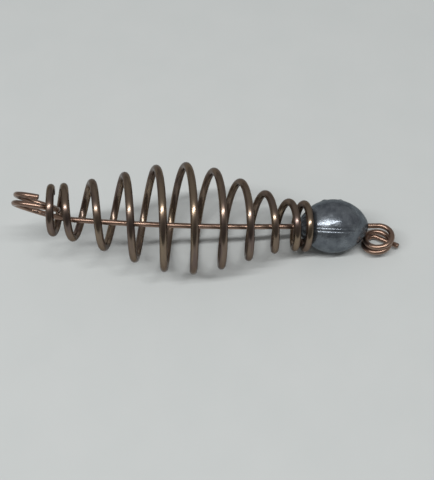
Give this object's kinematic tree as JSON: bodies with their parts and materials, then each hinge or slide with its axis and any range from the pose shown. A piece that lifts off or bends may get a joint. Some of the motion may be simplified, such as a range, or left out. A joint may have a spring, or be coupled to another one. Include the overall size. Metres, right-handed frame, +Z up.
{
  "type": "spring feeder",
  "caption": "Fishing spring feeder: a barrel-wound wire bait spring and a drilled lead egg sinker threaded on a wire stem that ends in a wound eye at each end.",
  "frame": {"origin": "on the ground, under the middle of the feeder's box as it lies on its side", "axes": "+X along the feeder from the big eye to the small eye, +Y to the far side, +Z up from the ground it lies on"},
  "size_m": [0.0883, 0.0258, 0.0262],
  "materials": {
    "copper_wire": "satin",
    "bronzed_wire": "satin",
    "lead": "satin"
  },
  "bodies": {
    "stem": {"stem_wire": "copper_wire"},
    "spring": {"bait_spring": "bronzed_wire"},
    "sinker": {"egg_sinker": "lead"}
  },
  "joints": [
    {"name": "spring_spin", "type": "hinge", "parent": "stem", "child": "spring", "pos_m": [0.02212, -0.00172, 0.00739], "axis": [0.9786, -0.0591, -0.197], "continuous": true},
    {"name": "sinker_press", "type": "slide", "parent": "stem", "child": "sinker", "axis": [0.9868, 0, -0.1617], "range_m": [-0.008, 0], "stiffness_N_per_m": 900, "deforming": ["bait_spring"]}
  ]
}
